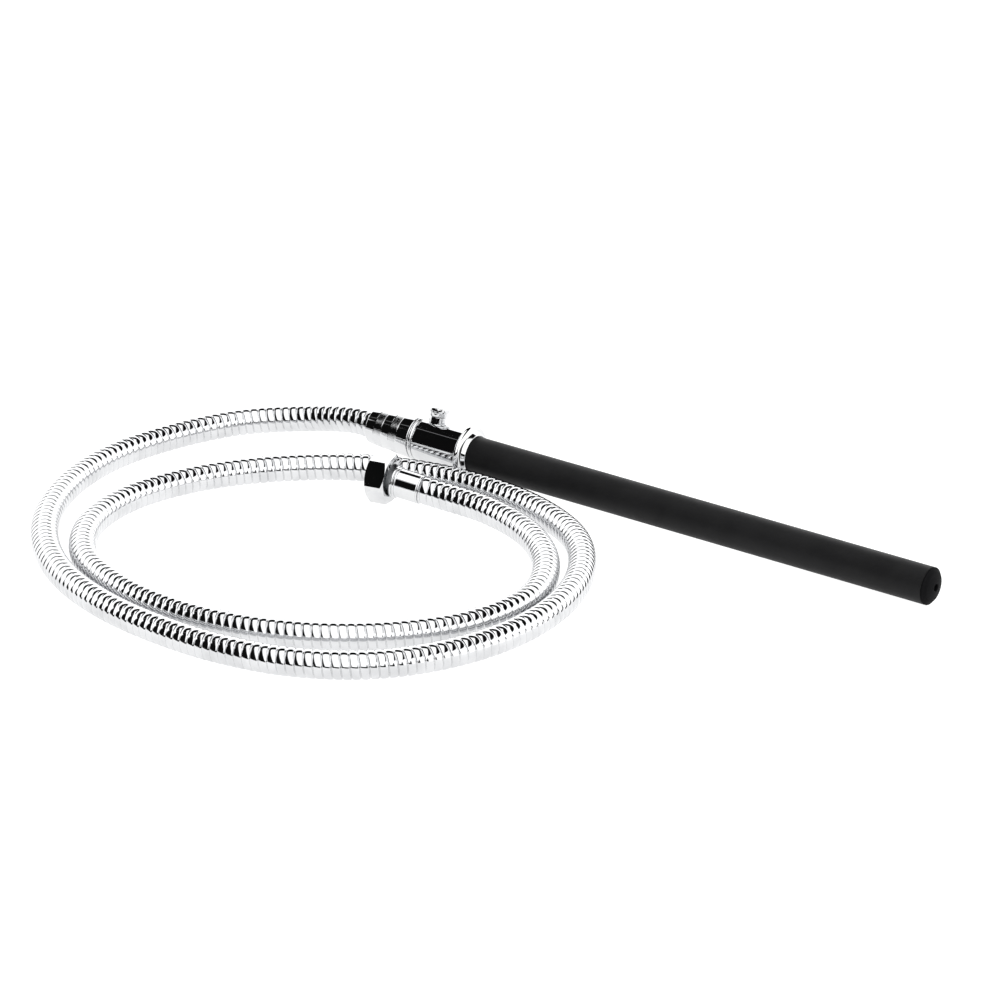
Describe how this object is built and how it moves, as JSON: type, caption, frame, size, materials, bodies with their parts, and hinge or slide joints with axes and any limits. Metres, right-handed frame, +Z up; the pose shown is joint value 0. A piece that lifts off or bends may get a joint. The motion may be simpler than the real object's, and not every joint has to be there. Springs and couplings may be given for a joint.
{
  "type": "handheld bath sprayer with metal shower hose",
  "caption": "Slim black washing wand with a push/pull water valve, conical swivel nut and a loosely coiled chrome shower hose ending in a hexagonal union nut.",
  "frame": {"origin": "on the floor under the middle of the wand, without the hose", "axes": "+X along the wand towards its tip, +Z up, +Y away from the hose's loops"},
  "size_m": [0.4327, 0.2644, 0.0333],
  "materials": {
    "chrome": "polished chrome plate",
    "hose_chrome": "chromed interlocked strip, ribbed",
    "brass": "turned, unplated",
    "steel": "drawn tube",
    "black_sleeve": "matt black, faintly satin",
    "black_tip": "matt black, moulded",
    "seal_rubber": "moulded seal",
    "core_plastic": "moulded",
    "liner_plastic": "extruded hose liner"
  },
  "bodies": {
    "sprayer": {"valve_body": "chrome", "bore_plug": "chrome", "thrust_ring": "chrome", "collar": "chrome", "tube_connector": "brass", "connector_seal": "seal_rubber", "pipe_o_ring_rear": "seal_rubber", "pipe_o_ring_front": "seal_rubber", "inner_pipe": "steel", "wand_tube": "black_sleeve", "tip_plug": "black_tip", "wand_washer": "seal_rubber", "wand_end_core": "core_plastic", "wand_end_ferrule": "chrome", "hose": "hose_chrome", "hose_liner": "liner_plastic", "far_end_sleeve": "chrome", "far_end_core": "core_plastic", "far_washer": "seal_rubber"},
    "valve_plunger": {"plunger": "chrome", "plunger_o_ring_1": "seal_rubber", "plunger_o_ring_2": "seal_rubber", "knob": "chrome"},
    "cone_nut": {"cone_nut": "chrome"},
    "hex_nut": {"hex_nut": "chrome"}
  },
  "joints": [
    {"name": "plunger_slide", "type": "slide", "parent": "sprayer", "child": "valve_plunger", "axis": [0.0171, 0.309, 0.9509], "range_m": [-0.0048, 0]},
    {"name": "cone_nut_spin", "type": "hinge", "parent": "sprayer", "child": "cone_nut", "pos_m": [-0.15098, 0, 0.01502], "axis": [0.9998, 0, -0.018], "continuous": true},
    {"name": "hex_nut_spin", "type": "hinge", "parent": "sprayer", "child": "hex_nut", "pos_m": [-0.1274, -0.0447, 0.01125], "axis": [0.9848, 0.1736, 0], "continuous": true}
  ]
}
